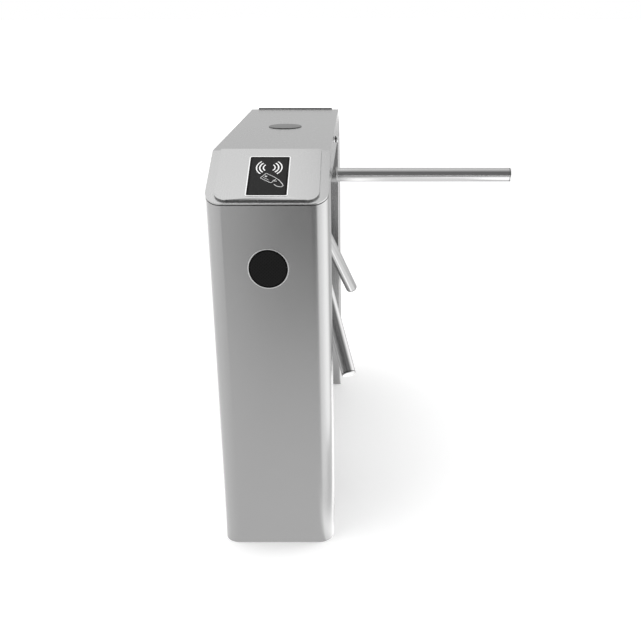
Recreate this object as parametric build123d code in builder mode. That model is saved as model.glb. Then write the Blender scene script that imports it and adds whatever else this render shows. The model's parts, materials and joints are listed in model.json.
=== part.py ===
from build123d import *
import os
from math import acos, atan2, cos, degrees, pi, radians, sin, sqrt, tan

os.makedirs("parts", exist_ok=True)

# Bridge-type tripod turnstile with a visitor counter: cabinet, lid, tripod head and works.
# Cabinet frame: +X points into the passage, +Y along the passage, +Z up.
# The origin is on the floor, in the middle of the anchor bolt pattern.

# ---- cabinet, in mm ----
cabinet_width = 280.0
cabinet_length = 1180.0
cabinet_height = 980.0
lid_height = 92.0
lid_lip = 3.0
lid_slope_run = 176.0
pillar_depth = 176.0
corner_radius = 38.0
fold_radius = 4.0
sheet = 1.5
seam_gap = 2.0
top_flange = 16.0

# ---- recess behind the arms, and the head's place in it ----
recess_depth = 156.0
recess_rise = 18.0
head_inset = 113.0
head_drop = 43.0
facet_offset = 35.0
axis_tilt = 45.0

# ---- clearances ----
running_clearance = 0.05
panel_gap = 2.0
slip_clearance = 0.25
bolt_clearance = 0.5
seal_gap = 0.2

side_x = cabinet_width / 2
end_y = cabinet_length / 2
seam_z = cabinet_height - lid_height
body_top = seam_z - seam_gap
recess_x = side_x - recess_depth
recess_top = body_top + recess_rise
pillar_inner_y = end_y - pillar_depth
ridge_y = end_y - lid_slope_run
slope_rise = lid_height - lid_lip
slope_angle = atan2(slope_rise, lid_slope_run)
mid_length = 2 * pillar_inner_y
head_centre = Vector(side_x - head_inset, 0, seam_z - head_drop)
tilt = radians(axis_tilt)
head_axis = Vector(sin(tilt), 0, -cos(tilt))
head_plane = Plane(origin=head_centre, x_dir=(cos(tilt), 0, sin(tilt)), z_dir=head_axis)


def save(piece, name):
    piece.part.label = name
    export_step(piece.part, f"parts/{name}.step")


def across(x, y, z):
    # A plane at (x, y, z) that faces into the passage, +X, with Y to its right.
    return Plane(origin=(x, y, z), x_dir=(0, 1, 0), z_dir=(1, 0, 0))


def end_plane(end, z):
    # A plane on the outside of one end face: end is -1 at the front, +1 at the rear.
    return Plane(origin=(0, end * end_y, z), x_dir=(-end, 0, 0), z_dir=(0, end, 0))


def polygon(plane, points):
    with BuildSketch(plane) as face:
        with BuildLine():
            Polyline(*points, close=True)
        make_face()
    return face.sketch


# ---- end pillars ----
indicator_radius = 45.0
indicator_z = 740.0
indicator_hole_radius = indicator_radius - 3.0
service_gap_width = 90.0
service_gap_height = 720.0
service_gap_z = 450.0


def pillar_plan(end, inset, z=0.0):
    # Plan of one pillar, shrunk by inset: large outer corners and small folded inner ones.
    with BuildSketch(Plane.XY.offset(z)) as plan:
        with Locations((0, end * (end_y - pillar_depth / 2))):
            Rectangle(cabinet_width - 2 * inset, pillar_depth - 2 * inset)
        rows = plan.vertices().group_by(Axis.Y)
        fillet(rows[0 if end < 0 else -1], corner_radius - inset)
        if inset < fold_radius:
            fillet(plan.vertices().sort_by(Axis.Y)[-2:] if end < 0 else
                   plan.vertices().sort_by(Axis.Y)[:2], fold_radius - inset)
    return plan.sketch


def pillar_side(end, drop):
    # Side view of one pillar up to its sloped top, which is lowered by drop.
    def top_z(y):
        return body_top - drop + (end_y - y) * tan(slope_angle)

    near_y = pillar_inner_y - 1
    far_y = end_y + 1
    return polygon(
        Plane.YZ,
        [(end * near_y, 0), (end * far_y, 0), (end * far_y, top_z(far_y)), (end * near_y, top_z(near_y))],
    )


def pillar_block(end, inset, drop):
    # Solid block with one pillar's plan and side view, shrunk by inset and lowered by drop.
    with BuildPart() as block:
        extrude(pillar_plan(end, inset), amount=cabinet_height)
        extrude(pillar_side(end, drop), amount=cabinet_width, both=True, mode=Mode.INTERSECT)
    return block.part


box_centre_x = (recess_x - side_x) / 2
for end, side in ((-1, "front"), (1, "rear")):
    with BuildPart() as pillar:
        add(pillar_block(end, 0, 0))
        add(pillar_block(end, sheet, sheet / cos(slope_angle)), mode=Mode.SUBTRACT)
        extrude(pillar_plan(end, top_flange, body_top - 3 * sheet), amount=cabinet_height, mode=Mode.SUBTRACT)
        with BuildSketch(end_plane(end, indicator_z).offset(-2 * sheet)):
            Circle(indicator_hole_radius)
        extrude(amount=4 * sheet, mode=Mode.SUBTRACT)
        with Locations((box_centre_x, end * pillar_inner_y, service_gap_z)):
            Box(service_gap_width, 4 * sheet, service_gap_height, mode=Mode.SUBTRACT)
    save(pillar, f"{side}_pillar")

# ---- base plates with anchor bolt holes and a cable entry ----
base_thickness = 6.0
anchor_spacing_x = 200.0
anchor_hole_radius = 7.0
anchor_edge_y = 40.0
anchor_row_gap = 96.0
anchor_outer_y = end_y - anchor_edge_y
anchor_inner_y = anchor_outer_y - anchor_row_gap
cable_hole_radius = 30.0
cable_y = end_y - pillar_depth / 2

for end, side in ((-1, "front"), (1, "rear")):
    with BuildPart() as base_plate:
        extrude(pillar_plan(end, sheet + slip_clearance), amount=base_thickness)
        with Locations((0, end * (anchor_outer_y + anchor_inner_y) / 2, base_thickness)):
            with GridLocations(anchor_spacing_x, anchor_row_gap, 2, 2):
                Hole(anchor_hole_radius)
        with Locations((0, end * cable_y, base_thickness)):
            Hole(cable_hole_radius)
    save(base_plate, f"{side}_base_plate")

grommet_lip = 5.0
grommet_bore_radius = 22.0
grommet_lip_height = 3.0
with BuildPart() as grommets:
    for end in (-1, 1):
        neck_radius = cable_hole_radius - slip_clearance
        with BuildSketch(Plane(origin=(0, end * cable_y, 0), x_dir=(1, 0, 0), z_dir=(0, -1, 0))):
            with BuildLine():
                Polyline(
                    (grommet_bore_radius, slip_clearance),
                    (neck_radius, slip_clearance),
                    (neck_radius, base_thickness),
                    (cable_hole_radius + grommet_lip, base_thickness),
                    (cable_hole_radius + grommet_lip, base_thickness + grommet_lip_height),
                    (grommet_bore_radius, base_thickness + grommet_lip_height),
                    close=True,
                )
            make_face()
        revolve(axis=Axis((0, end * cable_y, 0), (0, 0, 1)))
save(grommets, "cable_grommets")

# ---- left side panel with two door openings ----
door_opening_length = 340.0
door_opening_height = 640.0
door_mullion = 60.0
door_centre_z = 440.0
frame_return = 12.0
door_centre_y = (door_mullion + door_opening_length) / 2

with BuildPart() as left_panel:
    with Locations((-side_x + sheet / 2, 0, body_top / 2)):
        Box(sheet, mid_length, body_top)
    with Locations((-side_x + top_flange / 2, 0, body_top - sheet / 2)):
        Box(top_flange, mid_length, sheet)
    for end in (-1, 1):
        with Locations((-side_x + frame_return / 2, end * door_centre_y, door_centre_z)):
            Box(frame_return, door_opening_length + 2 * sheet, door_opening_height + 2 * sheet)
    for end in (-1, 1):
        with Locations((-side_x + frame_return / 2, end * door_centre_y, door_centre_z)):
            Box(2 * frame_return, door_opening_length, door_opening_height, mode=Mode.SUBTRACT)
save(left_panel, "left_panel")

# ---- recess panel: upright wall, slanted facet and ceiling, folded from one sheet ----
facet_x = head_centre.X + facet_offset / sin(tilt)


def facet_height(x):
    # Height of the facet's outer face where it is x from the middle plane.
    return head_centre.Z + (x - facet_x) * tan(tilt)


facet_top_x = facet_x + (recess_top - sheet - head_centre.Z) / tan(tilt)
facet_low_z = facet_height(recess_x)
neck_hole_radius = 30.0
chassis_bolt_u = 62.0
chassis_bolt_v = 125.0
bolt_radius = 4.0

with BuildPart() as recess_panel:
    with BuildSketch(Plane.XZ.offset(-pillar_inner_y)):
        with BuildLine():
            Polyline(
                (recess_x, 0),
                (recess_x, facet_low_z),
                (facet_top_x, recess_top - sheet),
                (side_x, recess_top - sheet),
            )
            offset(amount=sheet, side=Side.LEFT, kind=Kind.INTERSECTION)
        make_face()
    extrude(amount=mid_length)
    with BuildSketch(head_plane.offset(facet_offset - 2 * sheet)):
        Circle(neck_hole_radius)
        with GridLocations(2 * chassis_bolt_u, 2 * chassis_bolt_v, 2, 2):
            Circle(bolt_radius + bolt_clearance)
    extrude(amount=3 * sheet, mode=Mode.SUBTRACT)
save(recess_panel, "recess_panel")

# ---- bridge rail behind the top of the facet, between the pillars ----
rail_width = 14.0
rail_height = 20.0
rail_wall = 1.5
rail_inset = 38.0
rail_x = side_x - rail_inset
with BuildPart() as bridge_rail:
    with Locations((rail_x, 0, body_top + rail_height / 2)):
        Box(rail_width, mid_length, rail_height)
        Box(rail_width - 2 * rail_wall, mid_length, rail_height - 2 * rail_wall, mode=Mode.SUBTRACT)
save(bridge_rail, "bridge_rail")

# ---- rubber seal that the lid closes on ----
seal_inset = 2.5
seal_width = 8.0


def whole_plan(inset, z):
    # Plan of the whole cabinet, shrunk by inset.
    with BuildSketch(Plane.XY.offset(z)) as plan:
        RectangleRounded(cabinet_width - 2 * inset, cabinet_length - 2 * inset, corner_radius - inset)
    return plan.sketch


def seal_ring(end):
    # Closed ring of seal on the sloped flange of one pillar, up to the lid's sloped sheet.
    ring_height = seam_gap + lid_lip - sheet / cos(slope_angle) - seal_gap
    with BuildPart() as ring:
        add(pillar_block(end, seal_inset, -ring_height))
        add(pillar_block(end, seal_inset, 0), mode=Mode.SUBTRACT)
        extrude(pillar_plan(end, seal_inset + seal_width), amount=cabinet_height, mode=Mode.SUBTRACT)
    return ring.part


with BuildPart() as body_seal:
    for end in (-1, 1):
        add(seal_ring(end))
    # Between the pillars it runs on the left panel's flange and on the recess ceiling.
    for side, low in ((-1, body_top), (1, recess_top)):
        with Locations((side * (side_x - seal_inset - seal_width / 2), 0, low + (seam_gap - seal_gap) / 2)):
            Box(seal_width, mid_length, seam_gap - seal_gap)
save(body_seal, "body_seal")

# ---- lid ----
lid_flange = 13.0
slope_length = sqrt(slope_rise**2 + lid_slope_run**2)
top_indicator_radius = 46.0
top_stem_radius = 41.0
lock_y = -120.0
lock_z = cabinet_height - 17.0
lock_hole_radius = 9.5
plate_window_length = 142.0
plate_window_width = 92.0
plate_window_lift = 22.5
module_length = 132.0
module_width = 84.0


def slope_plane(end):
    # Outer face of a sloped end, from the middle of its lower edge: Y runs up the slope.
    return Plane(
        origin=(0, end * end_y, seam_z + lid_lip),
        x_dir=(-end, 0, 0),
        z_dir=(0, end * sin(slope_angle), cos(slope_angle)),
    )


def lid_side_view(inset):
    # Side view of the lid, shrunk by inset at its slopes and its flat.
    drop = inset / cos(slope_angle)
    run_back = inset * tan(slope_angle / 2)
    return polygon(
        Plane.YZ,
        [
            (-end_y, seam_z - lid_lip),
            (end_y, seam_z - lid_lip),
            (end_y, seam_z + lid_lip - drop),
            (ridge_y - run_back, cabinet_height - inset),
            (-ridge_y + run_back, cabinet_height - inset),
            (-end_y, seam_z + lid_lip - drop),
        ],
    )


def lid_block(inset, low_z):
    # Solid block with the lid's plan and side view, shrunk by inset, above low_z.
    with BuildPart() as block:
        extrude(whole_plan(inset, low_z), amount=lid_height + lid_lip)
        extrude(lid_side_view(inset), amount=cabinet_width, both=True, mode=Mode.INTERSECT)
    return block.part


def lid_relief(end):
    # Side view of what is cut from the lid's walls over one pillar.
    near_y = pillar_inner_y - panel_gap
    far_y = end_y + 5
    rise = (end_y - near_y) * tan(slope_angle)
    drop = (far_y - end_y) * tan(slope_angle)
    low = seam_z - 5
    return polygon(
        Plane.YZ,
        [(end * near_y, low), (end * far_y, low), (end * far_y, seam_z - drop), (end * near_y, seam_z + rise)],
    )


lid_outside = lid_block(0, seam_z)
lid_inside = lid_block(sheet, seam_z - sheet)
with BuildPart() as lid_shell:
    add(lid_outside)
    add(lid_inside, mode=Mode.SUBTRACT)
    # Over the pillars the lid is only a sloped cover with a narrow lip.
    for end in (-1, 1):
        extrude(lid_relief(end), amount=cabinet_width, both=True, mode=Mode.SUBTRACT)
    # Between the pillars both walls end in a flange; over the recess the wall stops higher.
    fascia_low = recess_top + seam_gap
    fascia_length = mid_length - 2 * panel_gap
    with Locations((side_x - lid_flange / 2, 0, (seam_z - 1 + fascia_low) / 2)):
        Box(lid_flange + 2, mid_length, fascia_low - seam_z + 1, mode=Mode.SUBTRACT)
    for side, low in ((-1, seam_z), (1, fascia_low)):
        with Locations((side * (side_x - lid_flange / 2), 0, low + sheet / 2)):
            Box(lid_flange, fascia_length, sheet)
    with Locations((0, 0, cabinet_height)):
        Cylinder(top_stem_radius + slip_clearance, 4 * sheet, mode=Mode.SUBTRACT)
    with BuildSketch(across(side_x - 2 * sheet, lock_y, lock_z)):
        Circle(lock_hole_radius + slip_clearance)
    extrude(amount=4 * sheet, mode=Mode.SUBTRACT)
    for end in (-1, 1):
        with BuildSketch(slope_plane(end).offset(-2 * sheet)):
            with Locations((0, plate_window_lift + plate_window_length / 2)):
                Rectangle(module_width + 2 * slip_clearance, module_length + 2 * slip_clearance)
        extrude(amount=4 * sheet, mode=Mode.SUBTRACT)
save(lid_shell, "lid_shell")

# ---- raised cover plates on the slopes, with the reader windows set into them ----
plate_thickness = 5.0
plate_side_inset = 21.0
plate_low_inset = 7.5
plate_corner_radius = 28.0
plate_width = cabinet_width - 2 * plate_side_inset
plate_length = slope_length - plate_low_inset
window_corner_radius = 3.0
window_edge_gap = 0.4
window_centre = plate_window_lift + plate_window_length / 2
module_depth = 22.0

for end, side in ((-1, "front"), (1, "rear")):
    slope = slope_plane(end)
    with BuildPart() as slope_plate:
        with BuildSketch(slope):
            with Locations((0, plate_low_inset + plate_length / 2)):
                plate_outline = Rectangle(plate_width, plate_length)
            fillet(plate_outline.vertices().sort_by(Axis.Y)[:2], plate_corner_radius)
            with Locations((0, window_centre)):
                RectangleRounded(plate_window_width, plate_window_length, window_corner_radius,
                                 mode=Mode.SUBTRACT)
        extrude(amount=plate_thickness)
    save(slope_plate, f"{side}_slope_plate")

    with BuildPart() as reader_window:
        with BuildSketch(slope):
            with Locations((0, window_centre)):
                RectangleRounded(plate_window_width - 2 * window_edge_gap,
                                 plate_window_length - 2 * window_edge_gap, window_corner_radius)
        extrude(amount=plate_thickness)
    save(reader_window, f"{side}_reader_window")

with BuildPart() as reader_modules:
    for end in (-1, 1):
        with BuildSketch(slope_plane(end)):
            with Locations((0, window_centre)):
                RectangleRounded(module_width, module_length, window_corner_radius)
        extrude(amount=-module_depth)
save(reader_modules, "reader_modules")

# ---- passage indicator in the top of the lid ----
top_lens_height = 2.0
stem_depth = 8.0
board_thickness = 1.6
with BuildPart() as top_indicator_lens:
    with Locations((0, 0, cabinet_height)):
        Cylinder(top_indicator_radius, top_lens_height, align=(Align.CENTER, Align.CENTER, Align.MIN))
        Cylinder(top_stem_radius, stem_depth, align=(Align.CENTER, Align.CENTER, Align.MAX))
    fillet(top_indicator_lens.edges().group_by(Axis.Z)[-1], top_lens_height / 2)
save(top_indicator_lens, "top_indicator_lens")

with BuildPart() as top_indicator_board:
    with Locations((0, 0, cabinet_height - stem_depth)):
        Cylinder(top_stem_radius - 1, board_thickness, align=(Align.CENTER, Align.CENTER, Align.MAX))
save(top_indicator_board, "top_indicator_board")

# ---- passage indicators in the end faces ----
lens_thickness = 3.0
ring_width = 2.5
ring_height = 1.2
led_board_radius = 40.0
for end, side in ((-1, "front"), (1, "rear")):
    with BuildPart() as indicator_lens:
        with BuildSketch(end_plane(end, indicator_z)):
            Circle(indicator_radius)
        extrude(amount=ring_height)
        with BuildSketch(end_plane(end, indicator_z)):
            Circle(indicator_hole_radius - slip_clearance)
        extrude(amount=-(sheet + lens_thickness))
    save(indicator_lens, f"{side}_indicator_lens")

with BuildPart() as indicator_rings:
    for end in (-1, 1):
        with BuildSketch(end_plane(end, indicator_z)):
            Circle(indicator_radius + ring_width)
            Circle(indicator_radius + slip_clearance, mode=Mode.SUBTRACT)
        extrude(amount=ring_height)
save(indicator_rings, "indicator_rings")

with BuildPart() as indicator_boards:
    for end in (-1, 1):
        with BuildSketch(end_plane(end, indicator_z).offset(-(sheet + lens_thickness))):
            Circle(led_board_radius)
        extrude(amount=-board_thickness)
save(indicator_boards, "indicator_boards")

# ---- lid lock: barrel in the fascia, turning plug with its cam, and the strike ----
bezel_radius = 11.0
bezel_height = 1.5
nose_radius = 9.0
nose_height = 10.0
groove_radius = 7.9
groove_low = 3.5
groove_high = 6.8
barrel_depth = 36.0
plug_radius = 7.0
cam_thickness = 3.0
cam_rail_gap = 19.0
cam_width = 14.0
keyway_width = 2.0
keyway_length = 9.0
keyway_depth = 6.0
cam_gap = 0.5
lock_face_x = side_x + nose_height
rail_top = body_top + rail_height
cam_reach = lock_z - rail_top - cam_rail_gap
barrel_end_x = side_x - barrel_depth
cam_x = barrel_end_x - cam_gap

with BuildPart() as lid_lock_barrel:
    with BuildSketch(across(side_x, lock_y, lock_z)):
        Circle(bezel_radius)
    extrude(amount=bezel_height)
    with BuildSketch(across(side_x, lock_y, lock_z)):
        Circle(nose_radius)
    extrude(amount=nose_height)
    with BuildSketch(across(side_x + groove_low, lock_y, lock_z)):
        Circle(bezel_radius)
        Circle(groove_radius, mode=Mode.SUBTRACT)
    extrude(amount=groove_high - groove_low, mode=Mode.SUBTRACT)
    with BuildSketch(across(side_x, lock_y, lock_z)):
        Circle(lock_hole_radius)
    extrude(amount=-barrel_depth)
    with BuildSketch(across(lock_face_x, lock_y, lock_z)):
        Circle(plug_radius + running_clearance)
    extrude(amount=-2 * barrel_depth, mode=Mode.SUBTRACT)
save(lid_lock_barrel, "lid_lock_barrel")


def lock_plug(face, through, reach_direction):
    # Cylinder plug with a keyway in its face and a flat cam behind its barrel.
    # face looks outward; reach_direction is the angle of the cam in the face's own frame.
    with BuildPart() as plug:
        with BuildSketch(face):
            Circle(plug_radius)
        extrude(amount=-(through + cam_gap))
        with BuildSketch(face.offset(-(through + cam_gap))):
            Circle(cam_width / 2)
            with Locations(Rotation(0, 0, reach_direction)):
                with Locations((cam_reach / 2, 0)):
                    Rectangle(cam_reach, cam_width)
        extrude(amount=-cam_thickness)
        with BuildSketch(face):
            Rectangle(keyway_width, keyway_length)
        extrude(amount=-keyway_depth, mode=Mode.SUBTRACT)
    return plug


save(lock_plug(across(lock_face_x, lock_y, lock_z), barrel_depth + nose_height, -90), "lid_lock_plug")

strike_wall = 3.0
strike_clearance = 1.0
strike_lip = 15.0
strike_start_y = lock_y + cam_reach - 13.0
strike_lip_z = lock_z + cam_width / 2 + strike_clearance
strike_width = 10.0
with BuildPart() as lid_strike:
    column_y = strike_start_y + strike_lip
    column_height = strike_lip_z + strike_wall - rail_top
    with Locations((rail_x, column_y + strike_wall / 2, rail_top + column_height / 2)):
        Box(strike_width, strike_wall, column_height)
    with Locations((rail_x, strike_start_y + strike_lip / 2, strike_lip_z + strike_wall / 2)):
        Box(strike_width, strike_lip, strike_wall)
    with Locations((rail_x, column_y + strike_lip / 2, rail_top + strike_wall / 2)):
        Box(strike_width, strike_lip, strike_wall)
save(lid_strike, "lid_strike")

# ---- piano hinge of the lid, on the outside of the left panel ----
knuckle_radius = 3.5
hinge_pin_radius = 1.5
leaf_thickness = 1.5
leaf_height = 24.0
leaf_start = 4.0
knuckle_count = 18
knuckle_gap = 0.5
hinge_x = -side_x - knuckle_radius
hinge_z = body_top + seam_gap / 2
hinge_length = mid_length - 2 * fold_radius
knuckle_pitch = hinge_length / knuckle_count


def hinge_half(direction, first):
    # One leaf of the piano hinge with every second knuckle: direction is -1 for the lower leaf.
    with BuildPart() as half:
        leaf_x = -side_x - leaf_thickness / 2
        leaf_z = hinge_z + direction * (leaf_start + leaf_height / 2)
        with Locations((leaf_x, 0, leaf_z)):
            Box(leaf_thickness, hinge_length, leaf_height)
        for index in range(first, knuckle_count, 2):
            knuckle_y = -hinge_length / 2 + (index + 0.5) * knuckle_pitch
            length = knuckle_pitch - knuckle_gap
            with Locations((leaf_x, knuckle_y, hinge_z + direction * leaf_start / 2)):
                Box(leaf_thickness, length, leaf_start)
            with Locations(Location((hinge_x, knuckle_y, hinge_z), (90, 0, 0))):
                Cylinder(knuckle_radius, length)
        with Locations(Location((hinge_x, 0, hinge_z), (90, 0, 0))):
            Cylinder(hinge_pin_radius + running_clearance, mid_length, mode=Mode.SUBTRACT)
    return half


save(hinge_half(-1, 0), "lid_hinge_lower_leaf")
save(hinge_half(1, 1), "lid_hinge_upper_leaf")
with BuildPart() as lid_hinge_pin:
    with Locations(Location((hinge_x, 0, hinge_z), (90, 0, 0))):
        Cylinder(hinge_pin_radius, hinge_length)
save(lid_hinge_pin, "lid_hinge_pin")

# ---- service doors, with lift-off hinges and cam latches ----
post_radius = 5.0
post_height = 30.0
post_pin_radius = 2.5
post_pin_length = 26.0
post_leaf_width = 22.0
hinge_rise = 240.0
post_lift = 0.3
door_depth = 12.0
latch_inset = 20.0
latch_boss_radius = 11.0
latch_boss_depth = 16.0
hinge_axis_x = -side_x - post_radius
door_edge_y = door_mullion / 2 + door_opening_length
door_axis_y = door_edge_y - panel_gap / 2
latch_y = door_mullion / 2 + panel_gap + latch_inset


def door_hinge_half(end, z, upper):
    # Half of a lift-off hinge as a solid block, without its bore or pin.
    height = post_height if upper else -post_height
    outward = -1 if upper else 1
    with BuildPart() as half:
        with Locations((hinge_axis_x, end * door_axis_y, z + height / 2)):
            Cylinder(post_radius, post_height)
        leaf_y = end * (door_axis_y + outward * (post_leaf_width / 2 + panel_gap))
        with Locations((-side_x - leaf_thickness / 2, leaf_y, z + height / 2)):
            Box(leaf_thickness, post_leaf_width, post_height)
        bridge_y = end * (door_axis_y + outward * (panel_gap + post_radius) / 2)
        with Locations((-side_x - leaf_thickness / 2 - slip_clearance, bridge_y, z + height / 2)):
            Box(leaf_thickness, panel_gap + post_radius, post_height)
    return half.part


with BuildPart() as door_hinge_posts:
    for end in (-1, 1):
        for z in (door_centre_z - hinge_rise, door_centre_z + hinge_rise):
            add(door_hinge_half(end, z, upper=False))
            with Locations((hinge_axis_x, end * door_axis_y, z)):
                Cylinder(post_pin_radius, post_pin_length, align=(Align.CENTER, Align.CENTER, Align.MIN))
save(door_hinge_posts, "door_hinge_posts")

for end, side in ((-1, "front"), (1, "rear")):
    with BuildPart() as door:
        with Locations((-side_x + door_depth / 2, end * door_centre_y, door_centre_z)):
            Box(door_depth, door_opening_length - 2 * panel_gap, door_opening_height - 2 * panel_gap)
        with Locations((-side_x + sheet + door_depth / 2, end * door_centre_y, door_centre_z)):
            Box(door_depth, door_opening_length - 2 * panel_gap - 2 * sheet,
                door_opening_height - 2 * panel_gap - 2 * sheet, mode=Mode.SUBTRACT)
        with BuildSketch(across(-side_x, end * latch_y, door_centre_z)):
            Circle(latch_boss_radius)
        extrude(amount=latch_boss_depth)
        for z in (door_centre_z - hinge_rise, door_centre_z + hinge_rise):
            add(door_hinge_half(end, z + post_lift, upper=True))
            with Locations((hinge_axis_x, end * door_axis_y, z)):
                Cylinder(post_pin_radius + running_clearance, post_pin_length + 1,
                         align=(Align.CENTER, Align.CENTER, Align.MIN), mode=Mode.SUBTRACT)
        with BuildSketch(across(-side_x - 1, end * latch_y, door_centre_z)):
            Circle(plug_radius + running_clearance)
        extrude(amount=latch_boss_depth + 2, mode=Mode.SUBTRACT)
    save(door, f"{side}_door")
    latch_face = Plane(origin=(-side_x - bezel_height, end * latch_y, door_centre_z),
                       x_dir=(0, -1, 0), z_dir=(-1, 0, 0))
    save(lock_plug(latch_face, latch_boss_depth + bezel_height, -90), f"{side}_door_latch")

# ---- arms: three polished tubes on a cone about the head's axis ----
arm_count = 3
arm_radius = 19.0
arm_wall = 2.0
arm_root = 80.0
arm_reach = 616.0
cap_rim = 4.0
socket_wall = 3.5
socket_radius = arm_radius + socket_wall
socket_end = 118.0
socket_bore_depth = 78.0


def arm_plane(index):
    # Plane at the head's centre that looks along one arm; its X turns away from the cabinet.
    azimuth = index * 2 * pi / arm_count
    radial = head_plane.x_dir * cos(azimuth) + head_plane.y_dir * sin(azimuth)
    along = (head_axis * cos(pi / 4) + radial * sin(pi / 4)).normalized()
    outward = (head_axis - along * head_axis.dot(along)).normalized()
    return Plane(origin=head_centre, x_dir=outward, z_dir=along)


for index in range(arm_count):
    with BuildPart() as arm:
        with BuildSketch(arm_plane(index).offset(arm_root)):
            Circle(arm_radius)
            Circle(arm_radius - arm_wall, mode=Mode.SUBTRACT)
        extrude(amount=arm_reach - cap_rim - arm_root)
    save(arm, f"arm_{index + 1}")

cap_plug_depth = 14.0
cap_edge = 2.0


def end_cap(index):
    # Rounded plug in the open end of one arm.
    tip = arm_plane(index).offset(arm_reach - cap_rim)
    with BuildPart() as cap:
        with BuildSketch(tip):
            Circle(arm_radius)
        extrude(amount=cap_rim)
        rims = cap.edges().filter_by(GeomType.CIRCLE)
        fillet(rims.sort_by(Axis(tip.origin, tip.z_dir))[-1], cap_edge)
        with BuildSketch(tip):
            Circle(arm_radius - arm_wall - slip_clearance)
        extrude(amount=-cap_plug_depth)
    return cap.part


with BuildPart() as arm_end_caps:
    for index in range(arm_count):
        add(end_cap(index))
save(arm_end_caps, "arm_end_caps")

# ---- hub: flanged casting with three sockets, fixed on the main shaft ----
shaft_radius = 15.0
hub_gap = 2.0
hub_base = facet_offset + hub_gap
hub_flange_radius = 74.0
hub_flange_edge = hub_base + 8.0
hub_dome_radius = 58.0
hub_nose = 84.0
cap_seat_radius = 27.0
cap_seat_depth = 3.0
neck_radius = 20.0
front_plate_back = facet_offset - sheet - 8.0
shaft_nose = 60.0
set_screw_radius = 4.0
set_screw_station = 104.0
seat_clearance = 0.02

# The radial section of the head is drawn with X as radius and Y along the head's axis.
head_section = Plane(origin=head_centre, x_dir=head_plane.x_dir, z_dir=-head_plane.y_dir)
head_spin = Axis(head_centre, head_axis)


def section_ring(inner, outer, low, high):
    # Ring about the head's axis, from low to high along it.
    with BuildPart() as ring:
        with BuildSketch(head_plane.offset(low)):
            Circle(outer)
            if inner > 0:
                Circle(inner, mode=Mode.SUBTRACT)
        extrude(amount=high - low)
    return ring.part


with BuildPart() as hub:
    with BuildSketch(head_section):
        with BuildLine():
            Polyline((0, hub_nose), (0, hub_base), (hub_flange_radius, hub_base),
                     (hub_flange_radius, hub_flange_edge - 2), (hub_flange_radius - 2, hub_flange_edge),
                     (hub_dome_radius, hub_flange_edge))
            ThreePointArc((hub_dome_radius, hub_flange_edge), (hub_dome_radius * 0.78, hub_nose * 0.86),
                          (cap_seat_radius + 3, hub_nose))
            Line((cap_seat_radius + 3, hub_nose), (0, hub_nose))
        make_face()
    revolve(axis=head_spin)
    for index in range(arm_count):
        with BuildSketch(arm_plane(index).offset(hub_base)):
            Circle(socket_radius)
        extrude(amount=socket_end - hub_base)
    chamfer(hub.edges().filter_by(GeomType.CIRCLE).group_by(SortBy.RADIUS)[0], 1.2)
    add(section_ring(0, 3 * hub_flange_radius, hub_base - 2 * hub_flange_radius, hub_base),
        mode=Mode.SUBTRACT)
    add(section_ring(0, neck_radius, front_plate_back, hub_base))
    add(section_ring(0, cap_seat_radius, hub_nose - cap_seat_depth, hub_nose + 1), mode=Mode.SUBTRACT)
    add(section_ring(0, shaft_radius + seat_clearance, front_plate_back - 1, shaft_nose),
        mode=Mode.SUBTRACT)
    for index in range(arm_count):
        with BuildSketch(arm_plane(index).offset(socket_bore_depth)):
            Circle(arm_radius + seat_clearance)
        extrude(amount=socket_end, mode=Mode.SUBTRACT)
        screw_way = Plane(origin=arm_plane(index).offset(set_screw_station).origin,
                          x_dir=arm_plane(index).y_dir, z_dir=arm_plane(index).x_dir)
        with BuildSketch(screw_way):
            Circle(set_screw_radius + seat_clearance)
        extrude(amount=2 * socket_radius, mode=Mode.SUBTRACT)
save(hub, "hub")

with BuildPart() as clamp_screws:
    for index in range(arm_count):
        screw_way = Plane(origin=arm_plane(index).offset(set_screw_station).origin,
                          x_dir=arm_plane(index).y_dir, z_dir=arm_plane(index).x_dir)
        with BuildSketch(screw_way.offset(arm_radius + seat_clearance)):
            Circle(set_screw_radius)
        extrude(amount=socket_radius - arm_radius - 0.5)
        with BuildSketch(screw_way.offset(socket_radius)):
            RegularPolygon(set_screw_radius / 2, 6)
        extrude(amount=-2, mode=Mode.SUBTRACT)
save(clamp_screws, "clamp_screws")

cap_dome = 3.0
with BuildPart() as hub_cap:
    add(section_ring(0, cap_seat_radius - slip_clearance, hub_nose - cap_seat_depth, hub_nose + cap_dome))
    fillet(hub_cap.edges().filter_by(GeomType.CIRCLE).sort_by(head_spin)[-1], cap_dome / 1.5)
save(hub_cap, "hub_cap")

# ---- chassis: two plates on four pillars behind the facet ----
plate_thick = 8.0
chassis_span = 64.0
chassis_length_u = 156.0
chassis_length_v = 290.0
bearing_hole_radius = 27.0
column_radius = 7.0
front_plate_face = facet_offset - sheet
back_plate_front = front_plate_back - chassis_span
back_plate_back = back_plate_front - plate_thick

# ---- works along the main shaft, measured on the head's axis ----
bearing_width = 16.0
bearing_outer_radius = 31.0
bearing_housing_radius = 46.0
race_thickness = 4.0
ball_radius = 4.75
ball_count = 9
ball_groove = 0.1
front_bearing_low = front_plate_back - bearing_width
rear_bearing_low = back_plate_back - bearing_width
gear_module = 2.0
drive_teeth = 72
motor_teeth = 18
encoder_teeth = 24
backlash = 0.16
pressure_angle = radians(20)
gear_width = 12.0
gear_boss_radius = 24.0
gear_high = front_bearing_low - 2.0
gear_low = gear_high - gear_width
brake_hex_radius = 26.0
brake_hex_low = gear_low - 14.0
armature_radius = 45.0
armature_thickness = 6.0
armature_gap = 0.4
coil_height = 20.0
coil_bore_radius = 24.0
shaft_step_radius = 18.0
nut_height = 8.0
nut_radius = 24.0
shaft_tail = rear_bearing_low - nut_height - 2.0
motor_distance = gear_module * (drive_teeth + motor_teeth) / 2
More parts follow.
